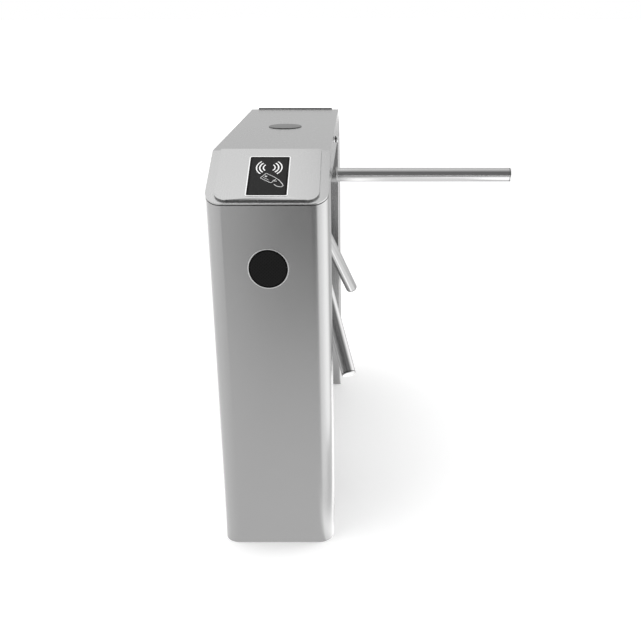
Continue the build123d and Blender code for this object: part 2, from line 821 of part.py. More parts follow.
encoder_distance = gear_module * (drive_teeth + encoder_teeth) / 2
motor_shaft_radius = 4.0
motor_boss_radius = 9.0

for plate_low, name, holes in (
    (front_plate_back, "chassis_front_plate", ()),
    (back_plate_back, "chassis_back_plate", (motor_distance, -encoder_distance)),
):
    with BuildPart() as chassis_plate:
        with BuildSketch(head_plane.offset(plate_low)):
            RectangleRounded(chassis_length_u, chassis_length_v, 8)
            Circle(bearing_hole_radius, mode=Mode.SUBTRACT)
            with GridLocations(2 * chassis_bolt_u, 2 * chassis_bolt_v, 2, 2):
                Circle(bolt_radius + bolt_clearance, mode=Mode.SUBTRACT)
            for offset_v in holes:
                with Locations((0, offset_v)):
                    Circle(motor_boss_radius + bolt_clearance, mode=Mode.SUBTRACT)
        extrude(amount=plate_thick)
    save(chassis_plate, name)

bolt_engagement = 20.0
with BuildPart() as chassis_pillars:
    with BuildSketch(head_plane.offset(back_plate_front)):
        with GridLocations(2 * chassis_bolt_u, 2 * chassis_bolt_v, 2, 2):
            Circle(column_radius)
    extrude(amount=chassis_span)
    for low in (back_plate_front, front_plate_back - bolt_engagement):
        with BuildSketch(head_plane.offset(low)):
            with GridLocations(2 * chassis_bolt_u, 2 * chassis_bolt_v, 2, 2):
                Circle(bolt_radius + running_clearance)
        extrude(amount=bolt_engagement, mode=Mode.SUBTRACT)
save(chassis_pillars, "chassis_pillars")

bolt_head_radius = 7.0
bolt_head_height = 4.5
with BuildPart() as chassis_bolts:
    for head_face, shank_end in (
        (facet_offset, front_plate_back - bolt_engagement + 1),
        (back_plate_back, back_plate_front + bolt_engagement - 1),
    ):
        into = 1 if shank_end > head_face else -1
        with BuildSketch(head_plane.offset(head_face)):
            with GridLocations(2 * chassis_bolt_u, 2 * chassis_bolt_v, 2, 2):
                RegularPolygon(bolt_head_radius, 6)
        extrude(amount=-into * bolt_head_height)
        with BuildSketch(head_plane.offset(head_face)):
            with GridLocations(2 * chassis_bolt_u, 2 * chassis_bolt_v, 2, 2):
                Circle(bolt_radius)
        extrude(amount=shank_end - head_face)
save(chassis_bolts, "chassis_bolts")

with BuildPart() as bearing_housings:
    for low in (front_bearing_low, rear_bearing_low):
        add(section_ring(bearing_outer_radius + seat_clearance, bearing_housing_radius, low,
                         low + bearing_width))
save(bearing_housings, "bearing_housings")

race_mid_radius = (shaft_radius + bearing_outer_radius) / 2


def bearing_race(inner, outer, low):
    # One race of a ball bearing, with the groove that its balls run in.
    with BuildPart() as race:
        add(section_ring(inner, outer, low, low + bearing_width))
        with BuildSketch(head_section):
            with Locations((race_mid_radius, low + bearing_width / 2)):
                Circle(ball_radius + ball_groove)
        revolve(axis=head_spin, mode=Mode.SUBTRACT)
    return race.part


with BuildPart() as bearing_outer_races:
    for low in (front_bearing_low, rear_bearing_low):
        add(bearing_race(bearing_outer_radius - race_thickness, bearing_outer_radius, low))
save(bearing_outer_races, "bearing_outer_races")

with BuildPart() as bearing_inner_races:
    for low in (front_bearing_low, rear_bearing_low):
        add(bearing_race(shaft_radius + seat_clearance, shaft_radius + race_thickness, low))
save(bearing_inner_races, "bearing_inner_races")

with BuildPart() as bearing_balls:
    for low in (front_bearing_low, rear_bearing_low):
        with Locations(head_plane.offset(low + bearing_width / 2)):
            with PolarLocations(race_mid_radius, ball_count):
                Sphere(ball_radius)
save(bearing_balls, "bearing_balls")

# The shaft, from its nose in the hub to the nut behind the rear bearing.
with BuildPart() as main_shaft:
    add(section_ring(0, shaft_radius, shaft_tail, shaft_nose - 0.5))
    add(section_ring(0, shaft_step_radius, rear_bearing_low + bearing_width, brake_hex_low))
    chamfer(main_shaft.edges().filter_by(GeomType.CIRCLE).sort_by(head_spin)[-1], 1.0)
save(main_shaft, "main_shaft")

with BuildPart() as shaft_nut:
    with BuildSketch(head_plane.offset(rear_bearing_low)):
        RegularPolygon(nut_radius, 6)
        Circle(shaft_radius + seat_clearance, mode=Mode.SUBTRACT)
    extrude(amount=-nut_height)
save(shaft_nut, "shaft_nut")


def involute(angle):
    return tan(angle) - angle


def gear_points(teeth, phase):
    # Outline of an involute gear; phase is the direction of the middle of its first tooth.
    pitch_radius = gear_module * teeth / 2
    base_radius = pitch_radius * cos(pressure_angle)
    tip_radius = pitch_radius + gear_module
    root_radius = pitch_radius - 1.25 * gear_module
    start_radius = max(base_radius, root_radius)
    steps = 4
    flank = [start_radius + (tip_radius - start_radius) * step / steps for step in range(steps + 1)]
    pitch_half_angle = pi / (2 * teeth) - backlash / (4 * pitch_radius) + involute(pressure_angle)
    half_angles = [pitch_half_angle - involute(acos(base_radius / radius)) for radius in flank]
    points = []
    for tooth in range(teeth):
        middle = phase + 2 * pi * tooth / teeth
        rising = [(root_radius, middle - half_angles[0])] if root_radius < start_radius else []
        rising += [(radius, middle - half) for radius, half in zip(flank, half_angles)]
        falling = [(radius, 2 * middle - angle) for radius, angle in reversed(rising)]
        points += [(radius * cos(angle), radius * sin(angle)) for radius, angle in rising + falling]
    return points


def gear_body(teeth, phase, centre_v, bore):
    # Gear between gear_low and gear_high, centred at centre_v along the head plane's Y.
    shifted = head_plane.offset(gear_low).location * Location((0, centre_v, 0))
    plane = Plane(shifted)
    with BuildPart() as body:
        extrude(polygon(plane, gear_points(teeth, phase)), amount=gear_width)
        with BuildSketch(plane):
            Circle(bore)
        extrude(amount=gear_width, mode=Mode.SUBTRACT)
    return body.part


up = pi / 2
drive_phase = up
with BuildPart() as drive_gear:
    add(gear_body(drive_teeth, drive_phase, 0, shaft_radius + seat_clearance))
    add(section_ring(shaft_radius + seat_clearance, gear_boss_radius / 1.2, gear_high, front_bearing_low))
    with BuildSketch(head_plane.offset(gear_low)):
        RegularPolygon(brake_hex_radius, 6)
        Circle(shaft_radius + seat_clearance, mode=Mode.SUBTRACT)
    extrude(amount=brake_hex_low - gear_low)
    with BuildSketch(head_plane.offset(gear_low)):
        with PolarLocations(50, 6):
            Circle(12)
    extrude(amount=gear_width, mode=Mode.SUBTRACT)
save(drive_gear, "drive_gear")

# Each follower turns a gap, not a tooth, towards the drive gear.
motor_phase = -up + pi / motor_teeth
encoder_phase = up + pi / encoder_teeth
with BuildPart() as motor_pinion:
    add(gear_body(motor_teeth, motor_phase, motor_distance, motor_shaft_radius + seat_clearance))
    shaft_plane = Plane(head_plane.offset(back_plate_back).location * Location((0, motor_distance, 0)))
    with BuildSketch(shaft_plane):
        Circle(motor_shaft_radius)
    extrude(amount=gear_high - back_plate_back)
save(motor_pinion, "motor_pinion")

with BuildPart() as encoder_gear:
    add(gear_body(encoder_teeth, encoder_phase, -encoder_distance, motor_shaft_radius + seat_clearance))
    shaft_plane = Plane(head_plane.offset(back_plate_back).location * Location((0, -encoder_distance, 0)))
    with BuildSketch(shaft_plane):
        Circle(motor_shaft_radius)
    extrude(amount=gear_high - back_plate_back)
save(encoder_gear, "encoder_gear")

motor_radius = 25.0
motor_length = 70.0
gearbox_side = 46.0
gearbox_length = 24.0
with BuildPart() as gear_motor:
    shaft_plane = Plane(head_plane.offset(back_plate_back).location * Location((0, motor_distance, 0)))
    with BuildSketch(shaft_plane):
        RectangleRounded(gearbox_side, gearbox_side, 4)
        Circle(motor_shaft_radius + running_clearance, mode=Mode.SUBTRACT)
    extrude(amount=-gearbox_length)
    with BuildSketch(shaft_plane.offset(-gearbox_length)):
        Circle(motor_radius - 4)
    extrude(amount=gearbox_length - motor_length)
save(gear_motor, "gear_motor")

encoder_radius = 19.0
encoder_length = 32.0
with BuildPart() as encoder:
    shaft_plane = Plane(head_plane.offset(back_plate_back).location * Location((0, -encoder_distance, 0)))
    with BuildSketch(shaft_plane):
        Circle(encoder_radius)
    extrude(amount=-encoder_length)
    fillet(encoder.edges().filter_by(GeomType.CIRCLE).sort_by(head_spin)[0], 2)
save(encoder, "encoder")

# ---- electromagnetic brake: a coil on the back plate and an armature that slides 0.4 mm to it ----
with BuildPart() as brake_coil:
    add(section_ring(coil_bore_radius, armature_radius, back_plate_front, back_plate_front + coil_height))
save(brake_coil, "brake_coil")

armature_low = back_plate_front + coil_height + armature_gap
with BuildPart() as brake_armature:
    with BuildSketch(head_plane.offset(armature_low)):
        Circle(armature_radius)
        RegularPolygon(brake_hex_radius + 0.15, 6, mode=Mode.SUBTRACT)
    extrude(amount=armature_thickness)
save(brake_armature, "brake_armature")

# ---- electronics on a tray behind the recess wall ----
tray_standoff = 12.0
tray_thickness = 2.0
tray_length = 420.0
tray_height = 330.0
tray_centre_z = 480.0
standoff_radius = 5.0
wall_inner_x = recess_x - sheet
tray_face_x = wall_inner_x - tray_standoff - tray_thickness
with BuildPart() as equipment_tray:
    with Locations((tray_face_x + tray_thickness / 2, 0, tray_centre_z)):
        Box(tray_thickness, tray_length, tray_height)
    with BuildSketch(across(tray_face_x + tray_thickness, 0, tray_centre_z)):
        with GridLocations(tray_length - 40, tray_height - 40, 2, 2):
            Circle(standoff_radius)
    extrude(amount=tray_standoff)
save(equipment_tray, "equipment_tray")

board_length = 180.0
board_height = 120.0
board_standoff = 5.0
chip_height = 12.0
board_y = -100.0
board_z = tray_centre_z + 80.0
board_plane = Plane(origin=(tray_face_x, board_y, board_z), x_dir=(0, -1, 0), z_dir=(-1, 0, 0))
with BuildPart() as control_board:
    with BuildSketch(board_plane):
        with GridLocations(board_length - 16, board_height - 16, 2, 2):
            Circle(3)
    extrude(amount=board_standoff)
    with BuildSketch(board_plane.offset(board_standoff)):
        Rectangle(board_length, board_height)
    extrude(amount=board_thickness)
    with BuildSketch(board_plane.offset(board_standoff + board_thickness)):
        with Locations((-40, 15)):
            Rectangle(28, 28)
        with Locations((30, 20)):
            Rectangle(40, 18)
        with Locations((0, -board_height / 2 + 10)):
            Rectangle(board_length - 30, 12)
    extrude(amount=chip_height)
save(control_board, "control_board")

supply_length = 150.0
supply_height = 98.0
supply_depth = 38.0
with BuildPart() as power_supply:
    with Locations((tray_face_x - supply_depth / 2, board_y, tray_centre_z - 80)):
        Box(supply_depth, supply_length, supply_height)
    chamfer(power_supply.edges().filter_by(Axis.X), 2)
save(power_supply, "power_supply")

counter_length = 96.0
counter_height = 48.0
counter_depth = 34.0
with BuildPart() as visit_counter:
    with Locations((tray_face_x - counter_depth / 2, -board_y, board_z)):
        Box(counter_depth, counter_length, counter_height)
    chamfer(visit_counter.edges().filter_by(Axis.X), 1.5)
    window_plane = Plane(origin=(tray_face_x - counter_depth, -board_y, board_z), x_dir=(0, -1, 0),
                         z_dir=(-1, 0, 0))
    with BuildSketch(window_plane):
        Rectangle(counter_length - 16, counter_height - 20)
    extrude(amount=-3, mode=Mode.SUBTRACT)
save(visit_counter, "visit_counter")

print("head centre", [round(value, 3) for value in head_centre])
print("hinge", round(hinge_x, 3), round(hinge_z, 3))
print("doors", round(hinge_axis_x, 3), round(door_axis_y, 3), "latch", round(latch_y, 3), door_centre_z)
print("lock", round(lock_face_x, 3), round(lock_z, 3))
print("slope", round(degrees(slope_angle), 3), round(slope_length, 3))
print("anchors", anchor_outer_y, anchor_inner_y)
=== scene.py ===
import json
import math
import random

import bmesh
import bpy
from mathutils import Matrix, Vector


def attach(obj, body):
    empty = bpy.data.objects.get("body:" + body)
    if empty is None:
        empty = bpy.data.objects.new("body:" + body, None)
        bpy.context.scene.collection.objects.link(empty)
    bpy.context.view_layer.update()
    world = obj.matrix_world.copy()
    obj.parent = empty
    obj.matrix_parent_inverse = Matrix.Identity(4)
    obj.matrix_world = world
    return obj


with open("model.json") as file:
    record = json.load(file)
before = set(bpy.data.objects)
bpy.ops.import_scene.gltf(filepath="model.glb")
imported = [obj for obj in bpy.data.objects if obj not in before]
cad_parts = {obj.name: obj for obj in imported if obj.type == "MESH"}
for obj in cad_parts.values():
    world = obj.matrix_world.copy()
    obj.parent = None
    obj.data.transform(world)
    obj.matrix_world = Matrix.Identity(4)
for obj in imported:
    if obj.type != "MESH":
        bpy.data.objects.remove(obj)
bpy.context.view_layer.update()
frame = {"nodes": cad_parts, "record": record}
nodes = frame["nodes"]
scene = bpy.context.scene
mm = 0.001
print("frame loaded:", len(nodes), "nodes")


class Wire:
    # An output socket of a shader tree. Arithmetic on it adds Math nodes to the same tree.
    def __init__(self, tree, socket=None):
        self.tree = tree
        self.socket = socket

    def join(self, value, socket):
        if isinstance(value, Wire):
            self.tree.links.new(value.socket, socket)
        else:
            socket.default_value = value

    def node(self, kind, output=0, settings=None, inputs=None):
        made = self.tree.nodes.new(kind)
        for key, value in (settings or {}).items():
            setattr(made, key, value)
        for key, value in (inputs or {}).items():
            self.join(value, made.inputs[key])
        return Wire(self.tree, made.outputs[output])

    def maths(self, operation, *values):
        return self.node("ShaderNodeMath", settings={"operation": operation}, inputs=dict(enumerate(values)))

    def lowest(self, other):
        return self.maths("MINIMUM", self, other)

    def highest(self, other):
        return self.maths("MAXIMUM", self, other)

    def __add__(self, other):
        return self.maths("ADD", self, other)

    def __radd__(self, other):
        return self.maths("ADD", other, self)

    def __sub__(self, other):
        return self.maths("SUBTRACT", self, other)

    def __rsub__(self, other):
        return self.maths("SUBTRACT", other, self)

    def __mul__(self, other):
        return self.maths("MULTIPLY", self, other)

    def __rmul__(self, other):
        return self.maths("MULTIPLY", other, self)

    def __truediv__(self, other):
        return self.maths("DIVIDE", self, other)

    def __rtruediv__(self, other):
        return self.maths("DIVIDE", other, self)

    def __pow__(self, other):
        return self.maths("POWER", self, other)

    def __neg__(self):
        return self * -1.0

    def __abs__(self):
        return self.maths("ABSOLUTE", self)

    def step(self, start, end, low=0.0, high=1.0):
        # Smooth change from low to high while this value goes from start to end.
        return self.node("ShaderNodeMapRange", settings={"interpolation_type": "SMOOTHSTEP"},
                         inputs={0: self, 1: start, 2: end, 3: low, 4: high})

    def line(self, start, end, low=0.0, high=1.0):
        return self.node("ShaderNodeMapRange", inputs={0: self, 1: start, 2: end, 3: low, 4: high})

    def between(self, first, second):
        # Colour from first to second, with this value as the factor.
        return self.node("ShaderNodeMix", output=2, settings={"data_type": "RGBA"},
                         inputs={0: self, 6: first, 7: second})

    def scaled(self, factors):
        return self.node("ShaderNodeVectorMath", settings={"operation": "MULTIPLY"},
                         inputs={0: self, 1: factors})

    def pulse(self, edge, blur):
        # 0 below the edge and 1 above it, softened over twice the blur.
        return self.step(edge - blur, edge + blur)

    def noise(self, size, detail=2.0, roughness=0.5):
        return self.node("ShaderNodeTexNoise", output="Fac",
                         inputs={"Vector": self, "Scale": size, "Detail": detail, "Roughness": roughness})

    def parts(self):
        split = self.tree.nodes.new("ShaderNodeSeparateXYZ")
        self.tree.links.new(self.socket, split.inputs[0])
        return [Wire(self.tree, socket) for socket in split.outputs]


glowLimit = 4.0


def grey(value, warm=0.0):
    return (value * (1 + warm), value, value * (1 - warm), 1)


def newMaterial(name, constants):
    # Principled material with its constant sockets set; returns it with its place wire and shader node.
    material = bpy.data.materials.new(name)
    material.use_nodes = True
    tree = material.node_tree
    shader = next(node for node in tree.nodes if node.type == "BSDF_PRINCIPLED")
    for key, value in constants.items():
        shader.inputs[key].default_value = value
    place = Wire(tree).node("ShaderNodeTexCoord", output="Object")
    return material, place, shader


def glowColour(level):
    # Grey whose level may go over 1.
    return (level / glowLimit).between(grey(0), grey(glowLimit))


def emptyTree(owner):
    # Turns nodes on for a material or world and returns its tree with nothing in it.
    owner.use_nodes = True
    owner.node_tree.nodes.clear()
    return owner.node_tree


def bumped(place, shader, height, strength, depth):
    normal = place.node("ShaderNodeBump", inputs={"Height": height, "Strength": strength, "Distance": depth})
    place.join(normal, shader.inputs["Normal"])


def brushedMetal(name, look):
    # Metal with a drawn grain, soft smudges and a little handling wear.
    material, place, shader = newMaterial(name, {"Metallic": look.get("metallic", 1.0)})
    grain = place.scaled(look["grain"]).noise(1.0, 3.0, 0.65)
    cloud = place.noise(look.get("cloudSize", 4.0), 4.0, 0.6)
    spots = place.noise(look.get("spotSize", 160.0), 2.0).step(0.62, 0.75)
    shade = 1.0 + (grain - 0.5) * look["grainTone"] + (cloud - 0.5) * look["cloudTone"]
    shade = shade - spots * look["spotTone"]
    colour = shade.line(0.0, 2.0).between(grey(0), grey(2 * look["tone"], look.get("warm", 0.0)))
    place.join(colour, shader.inputs["Base Color"])
    rough = look["roughness"] + (grain - 0.5) * look["grainRough"] + (cloud - 0.5) * look["cloudRough"]
    place.join(rough + spots * 0.015, shader.inputs["Roughness"])
    bumped(place, shader, grain, look["bump"], 0.0002)
    return material


def castOrPlastic(name, look):
    # Even surface with a fine texture: castings, rubber, paint, plastics.
    constants = {"Metallic": look.get("metallic", 0.0), "Coat Roughness": 0.2,
                 "Specular IOR Level": look.get("specular", 0.5)}
    material, place, shader = newMaterial(name, constants)
    fine = place.noise(look.get("fineSize", 900.0), 3.0, 0.6)
    cloud = place.noise(look.get("cloudSize", 12.0), 3.0)
    colour = (fine * 0.6 + cloud * 0.4).step(0.3, 0.7).between(look["dark"], look["light"])
    place.join(colour, shader.inputs["Base Color"])
    place.join(look["roughness"] + (cloud - 0.5) * 0.12, shader.inputs["Roughness"])
    place.join(look.get("coat", 0.0) + (cloud - 0.5) * 0.05, shader.inputs["Coat Weight"])
    bumped(place, shader, fine, look["bump"], 0.0003)
    return material


# Finishes.
# Tone is the base grey; grain is the noise scale along X, Y and Z in 1/m, small along the brushing.
cabinetSteel = {"tone": 0.40, "roughness": 0.24, "grain": (1600, 1600, 26), "grainTone": 0.10,
                "cloudTone": 0.06, "spotTone": 0.01, "grainRough": 0.10, "cloudRough": 0.06, "bump": 0.04}
lidSteel = dict(cabinetSteel, grain=(1600, 24, 1600), tone=0.45, roughness=0.26, bump=0.02,
                grainTone=0.05)
plateSteel = dict(cabinetSteel, grain=(1500, 30, 60), tone=0.46, roughness=0.26, bump=0.02,
                  grainTone=0.05)
armSteel = {"tone": 0.56, "roughness": 0.16, "grain": (900, 900, 900), "grainTone": 0.05,
            "cloudTone": 0.05, "spotTone": 0.03, "grainRough": 0.06, "cloudRough": 0.07, "bump": 0.006,
            "cloudSize": 9.0}
hubCast = dict(armSteel, tone=0.40, roughness=0.24, bump=0.05, grain=(500, 500, 500),
               grainTone=0.12)
trimSteel = dict(armSteel, tone=0.5, roughness=0.22)
ringSteel = dict(armSteel, tone=0.82, roughness=0.2)
lockSteel = dict(armSteel, tone=0.66, roughness=0.14)
hingeSteel = dict(cabinetSteel, tone=0.42, roughness=0.3, grain=(800, 60, 800))
zincPlate = {"tone": 0.42, "warm": 0.05, "roughness": 0.42, "grain": (90, 90, 90), "grainTone": 0.3,
             "cloudTone": 0.2, "spotTone": 0.06, "grainRough": 0.2, "cloudRough": 0.1, "bump": 0.05,
             "cloudSize": 14.0}
gearSteel = dict(zincPlate, tone=0.36, warm=0.0, roughness=0.3, grain=(400, 400, 400), grainTone=0.1)
gearBrass = dict(gearSteel, tone=0.46, warm=0.32)
bearingSteel = dict(armSteel, tone=0.58, roughness=0.12)
armatureSteel = dict(gearSteel, tone=0.27, roughness=0.4)
darkBolt = dict(gearSteel, tone=0.12, roughness=0.45)
castHousing = {"metallic": 0.7, "dark": grey(0.24), "light": grey(0.34), "roughness": 0.5, "bump": 0.25,
               "fineSize": 500.0}
rubber = {"dark": grey(0.012), "light": grey(0.02), "roughness": 0.75, "bump": 0.12, "specular": 0.3}
motorBlack = {"dark": grey(0.014), "light": grey(0.022), "roughness": 0.42, "bump": 0.1, "coat": 0.1}
moduleBlack = {"dark": grey(0.02), "light": grey(0.032), "roughness": 0.5, "bump": 0.15}
boardGreen = {"dark": (0.006, 0.06, 0.025, 1), "light": (0.01, 0.09, 0.04, 1), "roughness": 0.4, "bump": 0.1,
              "coat": 0.3, "cloudSize": 60.0}
supplyCase = {"metallic": 0.8, "dark": grey(0.4), "light": grey(0.5), "roughness": 0.45, "bump": 0.08}

materials = {
    "brushed_shell": brushedMetal("cabinetSteel", cabinetSteel),
    "satin_plate": brushedMetal("plateSteel", plateSteel),
    "polished_arm": brushedMetal("armSteel", armSteel),
    "cast_hub": brushedMetal("hubCast", hubCast),
    "hub_trim": brushedMetal("trimSteel", trimSteel),
    "bright_ring": brushedMetal("ringSteel", ringSteel),
    "lock_metal": brushedMetal("lockSteel", lockSteel),
    "hinge_steel": brushedMetal("hingeSteel", hingeSteel),
    "zinc_plate": brushedMetal("zincPlate", zincPlate),
    "dark_bolt": brushedMetal("darkBolt", darkBolt),
    "bearing_steel": brushedMetal("bearingSteel", bearingSteel),
    "gear_steel": brushedMetal("gearSteel", gearSteel),
    "gear_brass": brushedMetal("gearBrass", gearBrass),
    "armature_steel": brushedMetal("armatureSteel", armatureSteel),
    "housing_cast": castOrPlastic("castHousing", castHousing),
    "seal_rubber": castOrPlastic("sealRubber", rubber),
    "motor_black": castOrPlastic("motorBlack", motorBlack),
    "module_black": castOrPlastic("moduleBlack", moduleBlack),
    "circuit_board": castOrPlastic("boardGreen", boardGreen),
    "supply_case": castOrPlastic("supplyCase", supplyCase),
}
lidMaterial = brushedMetal("lidSteel", lidSteel)

# Round end indicators: black rim, charcoal field with a staggered lattice of holes that carry painted shade,
# darker than the field.
indicatorLook = {"across": 8.0, "down": 7.6, "dot": 1.35, "field": 0.012, "holeShade": 0.003, "rim": 0.0008,
                 "rimRadius": 41.6, "height": 0.74}


def distanceOf(across, up):
    return (across * across + up * up) ** 0.5


def dotLattice(across, up, offset, look):
    # Distance in mm to the nearest point of one rectangular lattice.
    reach = []
    for value, pitch in ((across, look["across"]), (up, look["down"])):
        shifted = value / pitch + offset
        reach.append((shifted.maths("FRACT", shifted) - 0.5) * pitch)
    return distanceOf(*reach)


def indicatorMaterial(look):
    constants = {"Specular IOR Level": 0.08, "Coat Roughness": 0.12}
    material, place, shader = newMaterial("indicatorLens", constants)
    x, y, z = place.parts()
    across, up = x / mm, (z - look["height"]) / mm
    nearest = dotLattice(across, up, 0.0, look).lowest(dotLattice(across, up, 0.5, look))
    holes = nearest.step(look["dot"] - 0.5, look["dot"] + 0.5, 1.0, 0.0)
    rim = distanceOf(across, up).pulse(look["rimRadius"], 0.4)
    haze = place.noise(30.0, 3.0)
    # The holes are painted darker than the field: painted shade inside them.
    field = holes.between(grey(look["field"]), grey(look["holeShade"]))
    colour = rim.between(field, grey(look["rim"]))
    place.join(colour, shader.inputs["Base Color"])
    place.join(0.38 + holes * 0.2 - rim * 0.2 + (haze - 0.5) * 0.1, shader.inputs["Roughness"])
    place.join(rim * 0.04, shader.inputs["Coat Weight"])
    bumped(place, shader, (1.0 - holes) * (1.0 - rim), 0.35, 0.0004)
    return material


topLook = {"dark": grey(0.03), "light": grey(0.042), "roughness": 0.3, "bump": 0.03, "coat": 0.1,
           "specular": 0.35}
topMaterial = castOrPlastic("topIndicatorLens", topLook)
endMaterial = indicatorMaterial(indicatorLook)

# The sloped ends of the lid: low is their lower edge (Y, Z) in m; the window's middle and the raised
# plate's thickness are in mm, along and out of the slope.
slopeAngle = math.atan2(89.0, 176.0)
slope = {"sine": math.sin(slopeAngle), "cosine": math.cos(slopeAngle), "low": (0.590, 0.891),
         "windowCentre": 93.5, "plate": 5.0}

# Reader glass: deep black border around a charcoal field.
glassLook = {"field": 0.016, "border": 0.004, "halfWidth": 45.6, "halfLength": 70.6, "borderWidth": 4.5,
             "roughness": 0.22}


def glassMaterial(look):
    material, place, shader = newMaterial("readerGlass", {"Specular IOR Level": 0.05, "Coat Roughness": 0.06})
    x, y, z = place.parts()
    rise = (z - slope["low"][1]) / mm / slope["sine"]  # distance up the slope, from its lower edge
    along = abs(rise - slope["windowCentre"] - slope["plate"] * slope["cosine"] / slope["sine"])
    across = abs(x) / mm
    sideEdge = across.pulse(look["halfWidth"] - look["borderWidth"], 0.4)
    endEdge = along.pulse(look["halfLength"] - look["borderWidth"], 0.4)
    border = sideEdge.highest(endEdge)
    dust = place.noise(700.0, 2.0).step(0.6, 0.75)
    haze = place.noise(22.0, 4.0)
    field = border.between(grey(look["field"]), grey(look["border"]))
    place.join(dust.step(0.0, 1.0, 0.0, 0.12).between(field, grey(0.3)), shader.inputs["Base Color"])
    place.join(look["roughness"] + (haze - 0.5) * 0.1 + dust * 0.1, shader.inputs["Roughness"])
    bumped(place, shader, haze, 0.02, 0.0002)
    return material


glass = glassMaterial(glassLook)
print("materials made")

# Materials and edge finish of the CAD nodes.
slotOf = {row.get("name") or row.get("node"): row["material_slot"] for row in frame["record"]["subparts"]}
special = {"lid_shell": lidMaterial, "front_reader_window": glass, "rear_reader_window": glass,
           "top_indicator_lens": topMaterial, "front_indicator_lens": endMaterial,
           "rear_indicator_lens": endMaterial}
edgeWidths = {"front_slope_plate": 0.6, "rear_slope_plate": 0.6, "lid_lock_barrel": 0.35,
              "lid_lock_plug": 0.25, "indicator_rings": 0.35, "front_door": 0.5, "rear_door": 0.5,
              "hub_cap": 0.4, "gear_motor": 0.5, "brake_coil": 0.6, "power_supply": 0.5,
              "visit_counter": 0.5, "chassis_front_plate": 0.5, "chassis_back_plate": 0.5,
              "front_door_latch": 0.25, "rear_door_latch": 0.25, "chassis_bolts": 0.4, "shaft_nut": 0.5,
              "front_reader_window": 0.3, "rear_reader_window": 0.3}
for name, node in nodes.items():
    node.data.materials.clear()
    node.data.materials.append(special.get(name) or materials[slotOf[name]])
    if name in edgeWidths:
        weld = node.modifiers.new("weld", "WELD")
        weld.merge_threshold = 0.00001
        bevel = node.modifiers.new("edges", "BEVEL")
        bevel.width = edgeWidths[name] * mm
        bevel.segments = 2
        bevel.limit_method = "ANGLE"
        bevel.angle_limit = math.radians(40)
        bevel.harden_normals = True
print("CAD nodes finished:", len(nodes))


# Mesh helpers.
def addPiece(name, build, material, body, bevel=0.0, smooth=True):
    # One mesh piece from a bmesh, riding on a body.
    mesh = bpy.data.meshes.new(name)
    bmesh.ops.recalc_face_normals(build, faces=build.faces)
    build.to_mesh(mesh)
    build.free()
    mesh.materials.append(material)
    piece = bpy.data.objects.new(name, mesh)
    scene.collection.objects.link(piece)
    if smooth:
        mesh.shade_smooth()
        mesh.set_sharp_from_angle(angle=math.radians(35))
    if bevel:
        edges = piece.modifiers.new("edges", "BEVEL")
        edges.width = bevel * mm
        edges.segments = 2
        edges.limit_method = "ANGLE"
        edges.angle_limit = math.radians(35)
    if body:
        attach(piece, body)
    return piece


def slopeMatrix(end):
    # Frame on a sloped end in mm: X across, Y up the slope, Z out of it; end is -1 at the front.
    across = Vector((-end, 0, 0))
    outward = Vector((0, end * slope["sine"], slope["cosine"]))
    upward = outward.cross(across)
    turn = Matrix((across, upward, outward)).transposed().to_4x4()
    return Matrix.Translation((0, end * slope["low"][0], slope["low"][1])) @ turn @ Matrix.Scale(mm, 4)


def placeMatrix(origin, across, outward):
    # Frame in mm at origin (in m) with the given X and Z directions.
    outward = Vector(outward).normalized()
    across = Vector(across).normalized()
    turn = Matrix((across, outward.cross(across), outward)).transposed().to_4x4()
    return Matrix.Translation(origin) @ turn @ Matrix.Scale(mm, 4)


def addPrism(build, outline, low, high, placing):
    # Closed outline extruded from low to high along Z of the placing.
    lower = [build.verts.new(placing @ Vector((x, y, low))) for x, y in outline]
    upper = [build.verts.new(placing @ Vector((x, y, high))) for x, y in outline]
    build.faces.new(upper)
    build.faces.new(list(reversed(lower)))
    for index in range(len(outline)):
        after = (index + 1) % len(outline)
        build.faces.new((lower[index], lower[after], upper[after], upper[index]))


def addBand(build, outer, inner, low, high, placing):
    # Frame between two outlines with the same number of points.
    rows = []
    for outline, level in ((outer, low), (outer, high), (inner, high), (inner, low)):
        rows.append([build.verts.new(placing @ Vector((x, y, level))) for x, y in outline])
    count = len(outer)
    for row in range(4):
        following = rows[(row + 1) % 4]
        for index in range(count):
            after = (index + 1) % count
            build.faces.new((rows[row][index], rows[row][after], following[after], following[index]))


def roundedOutline(width, length, radius, centre=(0, 0), steps=6):
    points = []
    for corner in range(4):
        middle = math.radians(45 + 90 * corner)
        cornerX = math.copysign(width / 2 - radius, math.cos(middle)) + centre[0]
        cornerY = math.copysign(length / 2 - radius, math.sin(middle)) + centre[1]
        for step in range(steps + 1):
            angle = math.radians(90 * corner + 90 * step / steps)
            points.append((cornerX + radius * math.cos(angle), cornerY + radius * math.sin(angle)))
    return points


def circleOutline(radius, centre=(0, 0), count=64):
    return [(centre[0] + radius * math.cos(2 * math.pi * step / count),
             centre[1] + radius * math.sin(2 * math.pi * step / count)) for step in range(count)]


def strokeOutline(path, width):
    # Outline of a stroke along an open path, mitred at its bends.
    left, right = [], []
    for index, point in enumerate(path):
        before = Vector(path[max(index - 1, 0)])
        after = Vector(path[min(index + 1, len(path) - 1)])
        direction = (after - before).normalized()
        side = Vector((-direction.y, direction.x)) * width / 2
        left.append(tuple(Vector(point) + side))
        right.append(tuple(Vector(point) - side))
    return left + list(reversed(right))


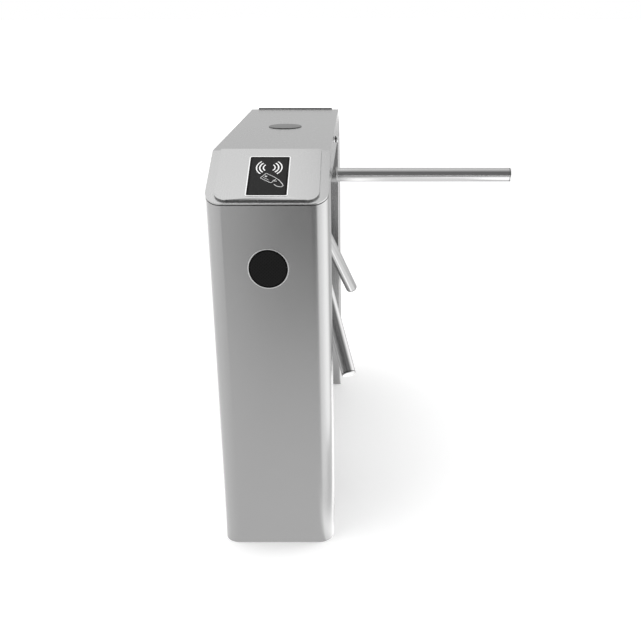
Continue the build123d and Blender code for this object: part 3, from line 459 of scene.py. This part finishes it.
# Reader: light rim round the window, and a printed card-and-waves icon.
readerLook = {"rimWidth": 2.4, "rimHeight": 0.7, "length": 142.0, "width": 92.0, "corner": 3.0}
iconLook = {"lift": 22.5, "centre": (0.0, 101.6), "radii": (29.6, 22.0, 13.7), "strokes": (2.8, 3.2, 2.8),
            "half": 50.0, "low": 0.02, "high": 0.12, "cardCentre": (1.0, 62.8), "cardSize": (33.0, 23.0),
            "cardTurn": -36.0, "cardLine": 1.6, "handWidth": 2.0, "thumbWidth": 2.6}
handPath = [(20.5, 60.6), (26.0, 54.6), (33.5, 42.1), (36.0, 35.5), (33.0, 31.2), (26.5, 31.2),
            (20.0, 34.4), (14.5, 40.4)]
thumbPath = [(11.5, 55.2), (16.5, 51.9), (20.5, 51.3)]
printLook = {"dark": grey(0.78), "light": grey(0.86), "roughness": 0.6, "bump": 0.05, "fineSize": 2500.0}
printMaterial = castOrPlastic("printWhite", printLook)
printGrey = castOrPlastic("printGrey", dict(printLook, dark=grey(0.46), light=grey(0.54)))
rimMaterial = brushedMetal("rimSteel", dict(ringSteel, tone=0.8, roughness=0.22))


def windowOutline(grow):
    # Outline of the reader window, grown by grow on every side.
    return roundedOutline(readerLook["width"] + 2 * grow, readerLook["length"] + 2 * grow,
                          readerLook["corner"] + max(grow, 0), (0, slope["windowCentre"]))


def onCard(points):
    # Points of the printed card turned and moved to its place.
    turn = math.radians(iconLook["cardTurn"])
    return [(iconLook["cardCentre"][0] + x * math.cos(turn) - y * math.sin(turn),
             iconLook["cardCentre"][1] + x * math.sin(turn) + y * math.cos(turn)) for x, y in points]


def wavePath(radius, facing, steps=16):
    path = []
    for step in range(steps + 1):
        angle = math.radians(facing - iconLook["half"] + 2 * iconLook["half"] * step / steps)
        path.append((iconLook["centre"][0] + radius * math.cos(angle),
                     iconLook["centre"][1] + radius * math.sin(angle)))
    return path


def cardShapes():
    # Filled outlines on the card and the hand that holds it.
    chip = roundedOutline(5.5, 4.5, 0.8, (-9.0, 1.5))
    stripe = [(-12, -4.6), (4, -4.6), (4, -5.9), (-12, -5.9)]
    return [onCard(chip), onCard(stripe), strokeOutline(handPath, iconLook["handWidth"]),
            strokeOutline(thumbPath, iconLook["thumbWidth"])]


for end, side in ((-1, "Front"), (1, "Rear")):
    placing = slopeMatrix(end)
    printing = placing @ Matrix.Translation((0, iconLook["lift"], slope["plate"]))
    levels = (iconLook["low"], iconLook["high"])
    rim = bmesh.new()
    addBand(rim, windowOutline(readerLook["rimWidth"]), windowOutline(-0.2), slope["plate"] - 0.2,
            slope["plate"] + readerLook["rimHeight"], placing)
    addPiece("readerRim" + side, rim, rimMaterial, "lid", bevel=0.25)

    waves = bmesh.new()
    for radius, stroke in zip(iconLook["radii"], iconLook["strokes"]):
        for facing in (0, 180):
            addPrism(waves, strokeOutline(wavePath(radius, facing), stroke), *levels, printing)
    addPiece("readerWaves" + side, waves, printMaterial, "lid", smooth=False)

    card = bmesh.new()
    cardWidth, cardHeight = iconLook["cardSize"]
    line = iconLook["cardLine"]
    addBand(card, onCard(roundedOutline(cardWidth, cardHeight, 3.0)),
            onCard(roundedOutline(cardWidth - 2 * line, cardHeight - 2 * line, 1.6)), *levels, printing)
    for outline in cardShapes():
        addPrism(card, outline, *levels, printing)
    addPiece("readerCard" + side, card, printGrey, "lid", smooth=False)
print("reader details made")

# Lock: dark pieces of painted shade in the keyway and in the groove round the neck, and a bright bead round
# the plug.
# Heights are in mm from the lock's face, which is at the point "at" in m.
lockLook = {"at": (0.15, -0.12, 0.963), "beadRadius": 7.5, "beadWidth": 1.1, "beadHeight": 0.5,
            "neckRadius": 7.95, "neckWidth": 0.5, "neckLow": -6.5, "neckHigh": -3.2,
            "keyWidth": 1.96, "keyLength": 8.96, "keyLow": -5.9, "keyHigh": -1.2}
lockPlace = placeMatrix(lockLook["at"], (0, 1, 0), (1, 0, 0))
bead = bmesh.new()
addBand(bead, circleOutline(lockLook["beadRadius"] + lockLook["beadWidth"], count=48),
        circleOutline(lockLook["beadRadius"], count=48), -0.2, lockLook["beadHeight"], lockPlace)
addPiece("lockBead", bead, materials["lock_metal"], "lid", bevel=0.25)
# A thin dark ring sits in the groove round the neck: painted shade in the groove.
neckShade = bmesh.new()
addBand(neckShade, circleOutline(lockLook["neckRadius"] + lockLook["neckWidth"], count=48),
        circleOutline(lockLook["neckRadius"], count=48), lockLook["neckLow"], lockLook["neckHigh"], lockPlace)
addPiece("lockNeckShade", neckShade, materials["seal_rubber"], "lid")
# A dark block fills the keyway: painted shade in the slot.
shade = bmesh.new()
keyX, keyY = lockLook["keyWidth"] / 2, lockLook["keyLength"] / 2
addPrism(shade, [(-keyX, -keyY), (keyX, -keyY), (keyX, keyY), (-keyX, keyY)], lockLook["keyLow"],
         lockLook["keyHigh"], lockPlace)
addPiece("keywayShade", shade, materials["seal_rubber"], "lid_lock", smooth=False)

# Arms: dark groove between each tube and its plug, and a collar seam at each socket.
head = Vector((0.027, 0, 0.845))
root = math.sqrt(0.5)
axisDown = Vector((root, 0, -root))
acrossHead = Vector((root, 0, root))
sideHead = Vector((0, -1, 0))
armLook = {"groove": 611.2, "grooveWidth": 1.6, "radius": 19.0, "collar": 118.0, "collarWidth": 2.5}


def armMatrix(index):
    turn = index * 2 * math.pi / 3
    radial = acrossHead * math.cos(turn) + sideHead * math.sin(turn)
    along = (axisDown * root + radial * root).normalized()
    outward = (axisDown - along * axisDown.dot(along)).normalized()
    return placeMatrix(head, outward, along)


grooves = bmesh.new()
collars = bmesh.new()
for index in range(3):
    placing = armMatrix(index)
    addBand(grooves, circleOutline(armLook["radius"] + 0.06), circleOutline(armLook["radius"] - 0.8),
            armLook["groove"], armLook["groove"] + armLook["grooveWidth"], placing)
    addBand(collars, circleOutline(armLook["radius"] + 2.0), circleOutline(armLook["radius"] + 0.03),
            armLook["collar"] - 0.2, armLook["collar"] + armLook["collarWidth"], placing)
addPiece("armGrooves", grooves, materials["seal_rubber"], "tripod")
addPiece("socketCollars", collars, materials["hub_trim"], "tripod", bevel=0.5)
print("arm details made")

# Electronics: parts on the control board, terminals, display of the visit counter.
random.seed(7)
trayX = -31.5  # face of the equipment tray, in mm
boxLook = {"board": (6.6, -0.1, 0.56), "counter": (34.0, 0.1, 0.56), "supply": (38.0, -0.1, 0.4)}


def boxMatrix(name):
    # Frame on the outer face of one box on the tray: its depth in mm, then its Y and Z in m.
    depth, y, z = boxLook[name]
    return placeMatrix(((trayX - depth) * mm, y, z), (0, -1, 0), (-1, 0, 0))


boardPlace = boxMatrix("board")
capacitors = bmesh.new()
for u, v, radius, tall in ((-75, -10, 6, 16), (-75, 8, 6, 16), (-60, -22, 4, 11), (70, -18, 7, 18),
                           (72, 0, 4, 11), (5, -22, 4, 11)):
    addPrism(capacitors, circleOutline(radius, (u, v), 24), 0, tall, boardPlace)
addPiece("boardCapacitors", capacitors, materials["motor_black"], "cabinet", bevel=0.6)
chips = bmesh.new()
for step in range(46):
    u, v = random.uniform(-84, 84), random.uniform(-34, 52)
    if -60 < u < 56 and -4 < v < 34:  # the large modules of the board are here
        continue
    outline = roundedOutline(random.choice((2.2, 3.4, 5.5)), random.choice((1.6, 2.4)), 0.2, (u, v), 2)
    addPrism(chips, outline, 0, random.uniform(0.8, 1.6), boardPlace)
addPiece("boardChips", chips, materials["module_black"], "cabinet", smooth=False)
terminalLook = {"dark": (0.02, 0.16, 0.05, 1), "light": (0.03, 0.22, 0.08, 1), "roughness": 0.45,
                "bump": 0.1, "count": 14, "first": -68, "pitch": 10.4, "row": -50}
terminalMaterial = castOrPlastic("terminalGreen", terminalLook)
terminals = bmesh.new()
screws = bmesh.new()
for step in range(terminalLook["count"]):
    spot = (terminalLook["first"] + step * terminalLook["pitch"], terminalLook["row"])
    addPrism(terminals, roundedOutline(9.6, 11.4, 0.6, spot, 2), 12.0, 15.5, boardPlace)
    addPrism(screws, circleOutline(2.6, spot, 16), 15.0, 16.0, boardPlace)
addPiece("boardTerminals", terminals, terminalMaterial, "cabinet", bevel=0.4)
addPiece("terminalScrews", screws, materials["zinc_plate"], "cabinet", bevel=0.2)
displayLook = {"dark": grey(0.02), "light": grey(0.03), "roughness": 0.2, "bump": 0.02, "coat": 0.6}
displayMaterial = castOrPlastic("displayGlass", displayLook)
display = bmesh.new()
addPrism(display, roundedOutline(78, 26, 1.5), -2.95, -1.8, boxMatrix("counter"))
addPiece("counterDisplay", display, displayMaterial, "cabinet", bevel=0.3)
ventLook = {"rows": 7, "columns": 15, "across": 9.0, "down": 9.4, "first": (-63, -28), "radius": 2.6,
            "edge": 66}
supplyPlace = boxMatrix("supply")
# Vent holes are drawn as thin dark discs on the case face: painted shade where the holes are.
ventShade = bmesh.new()
for row in range(ventLook["rows"]):
    for column in range(ventLook["columns"]):
        u = ventLook["first"][0] + (column + 0.5 * (row % 2)) * ventLook["across"]
        v = ventLook["first"][1] + row * ventLook["down"]
        if abs(u) < ventLook["edge"]:
            addPrism(ventShade, circleOutline(ventLook["radius"], (u, v), 6), -0.1, 0.08, supplyPlace)
addPiece("supplyVentShade", ventShade, materials["seal_rubber"], "cabinet", smooth=False)
print("electronics details made")

# Stage: pale floor, a card that only reflections see, and a backdrop that only the camera sees.
def seenOnly(piece, camera=False, glossy=False):
    # Hides a piece of the stage from every kind of ray but the ones named.
    piece.visible_camera = camera
    piece.visible_glossy = glossy
    piece.visible_diffuse = False
    piece.visible_shadow = False
    piece.visible_transmission = False


floorLook = {"size": 60.0, "glow": 0.22, "farGlow": 0.75}
floorConstants = {"Roughness": 0.9, "Specular IOR Level": 0.1, "Emission Strength": 1.0}
floorMaterial, place, shader = newMaterial("floorPale", floorConstants)
x, y, z = place.parts()
distance = distanceOf(x, y)
speck = place.noise(40.0, 3.0)
place.join((speck * 0.04 + 0.48).between(grey(0.84), grey(0.96)), shader.inputs["Base Color"])
place.join(distance.step(2.5, 9.0, floorLook["glow"], floorLook["farGlow"]).between(grey(0), grey(1)),
           shader.inputs["Emission Color"])
floorMesh = bmesh.new()
floorRing = circleOutline(floorLook["size"] / mm, count=96)
floorMesh.faces.new([floorMesh.verts.new((px * mm, py * mm, -0.0005)) for px, py in floorRing])
addPiece("floor", floorMesh, floorMaterial, None, smooth=False)

# Levels of the card, and the distances in m and directions in degrees where they change.
cardLook = {"near": 0.98, "far": 0.08, "start": 0.5, "end": 5.0, "cornerX": 0.102, "cornerY": 0.552,
            "right": (34, 1.5, 2.1, 0.62), "left": (6, 1.0, 1.2, 2.0), "passage": (2.0, 1.15),
            "radius": 8.0}
cardMaterial = bpy.data.materials.new("reflectionCard")
cardTree = emptyTree(cardMaterial)
cardPlace = Wire(cardTree).node("ShaderNodeTexCoord", output="Object")
x, y, z = cardPlace.parts()
front = (-y).step(cardLook["start"], cardLook["end"], cardLook["near"], cardLook["far"])
# Direction on the floor as seen from the nearest front corner: 0 to the front, 180 to the back.
outward, ahead = abs(x) - cardLook["cornerX"], -y - cardLook["cornerY"]
aside = outward.maths("ARCTAN2", outward, ahead) * (180 / math.pi)
sides = []
for edge, first, middle, last in (cardLook["right"], cardLook["left"]):
    level = aside.step(edge + 4, 100, first, middle)
    level = level + aside.step(105, 160) * (last - level)
    sides.append(front + aside.step(edge - 2, edge + 4) * (level - front))
tone = sides[1] + x.step(-0.05, 0.05) * (sides[0] - sides[1])
# The passage floor under the arms stays bright.
passage = x.step(0.12, 0.2) * x.step(0.62, 0.72, 1.0, 0.0) * abs(y).step(0.5, 0.9, 1.0, 0.0)
tone = tone + passage * (x.step(0.17, 0.32, *cardLook["passage"]) - tone)
emission = cardPlace.node("ShaderNodeEmission", inputs={"Color": glowColour(tone), "Strength": 1.0})
output = cardTree.nodes.new("ShaderNodeOutputMaterial")
cardTree.links.new(emission.socket, output.inputs["Surface"])
cardMesh = bmesh.new()
cardRing = circleOutline(cardLook["radius"] / mm, count=64)
cardMesh.faces.new([cardMesh.verts.new((px * mm, py * mm, -0.0002)) for px, py in cardRing])
reflectionCard = addPiece("reflectionCard", cardMesh, cardMaterial, None, smooth=False)
seenOnly(reflectionCard, glossy=True)

domeLook = {"radius": 58.0, "rows": 12, "columns": 48}
domeMaterial = bpy.data.materials.new("backdropWhite")
domeTree = emptyTree(domeMaterial)
domeGlow = domeTree.nodes.new("ShaderNodeEmission")
domeOutput = domeTree.nodes.new("ShaderNodeOutputMaterial")
domeTree.links.new(domeGlow.outputs[0], domeOutput.inputs["Surface"])
dome = bmesh.new()
bmesh.ops.create_uvsphere(dome, u_segments=domeLook["columns"], v_segments=domeLook["rows"],
                          radius=domeLook["radius"])
backdrop = addPiece("backdrop", dome, domeMaterial, None)
seenOnly(backdrop, camera=True)
print("stage made")

# Studio light: a soft sky that is dark towards the front, two wide lamps and a panel.
skyLook = {"low": 0.22, "top": 0.5, "back": 0.55, "right": 0.9, "left": 0.7}
world = bpy.data.worlds.new("studio")
scene.world = world
skyTree = emptyTree(world)
skyPlace = Wire(skyTree).node("ShaderNodeTexCoord", output="Generated")
x, y, z = skyPlace.parts()
sky = skyLook["low"] + z.step(0.86, 0.99, 0.0, skyLook["top"]) * (1.0 - x * 0.8)
sky = sky + y.step(-0.02, 0.3, 0.0, skyLook["back"]) + x.step(0.45, 0.9, 0.0, skyLook["right"])
sky = sky + (-x).step(0.45, 0.9, 0.0, skyLook["left"])
background = skyPlace.node("ShaderNodeBackground", inputs={"Color": glowColour(sky), "Strength": 1.0})
skyOutput = skyTree.nodes.new("ShaderNodeOutputWorld")
skyTree.links.new(background.socket, skyOutput.inputs["Surface"])

# The key and fill light the surfaces, and the panel shows in reflections only.
lamps = {"key": {"at": (-1.0, -0.6, 3.2), "to": (0, 0, 0.4), "size": 2.6, "power": 60, "glossy": False},
         "fill": {"at": (2.6, 0.8, 2.4), "to": (0, 0, 0.5), "size": 2.0, "power": 26, "glossy": False},
         "panel": {"at": (-0.9, 0.35, 3.2), "to": (-0.9, 0.35, 0), "size": 1.9, "power": 6.0,
                   "glossy": True}}
for name, lamp in lamps.items():
    light = bpy.data.lights.new(name, "AREA")
    light.shape = "SQUARE"
    light.size = lamp["size"]
    light.energy = lamp["power"]
    holder = bpy.data.objects.new(name, light)
    scene.collection.objects.link(holder)
    holder.location = lamp["at"]
    direction = Vector(lamp["to"]) - Vector(lamp["at"])
    holder.rotation_euler = direction.to_track_quat("-Z", "Y").to_euler()
    holder.visible_glossy = lamp["glossy"]
    holder.visible_diffuse = not lamp["glossy"]
print("light made")

# Camera.
cameraLook = {"at": (0.20939, -2.51883, 1.31731), "pitch": 21.6956, "lens": 49.146,
              "shift": (-0.0610, 0.0397)}
lens = bpy.data.cameras.new("camera")
lens.lens = cameraLook["lens"]
lens.sensor_width = 36
lens.shift_x, lens.shift_y = cameraLook["shift"]
lens.clip_end = 200
camera = bpy.data.objects.new("camera", lens)
scene.collection.objects.link(camera)
camera.location = cameraLook["at"]
camera.rotation_euler = (math.radians(90 - cameraLook["pitch"]), 0, 0)
scene.camera = camera
scene.view_settings.view_transform = "Standard"
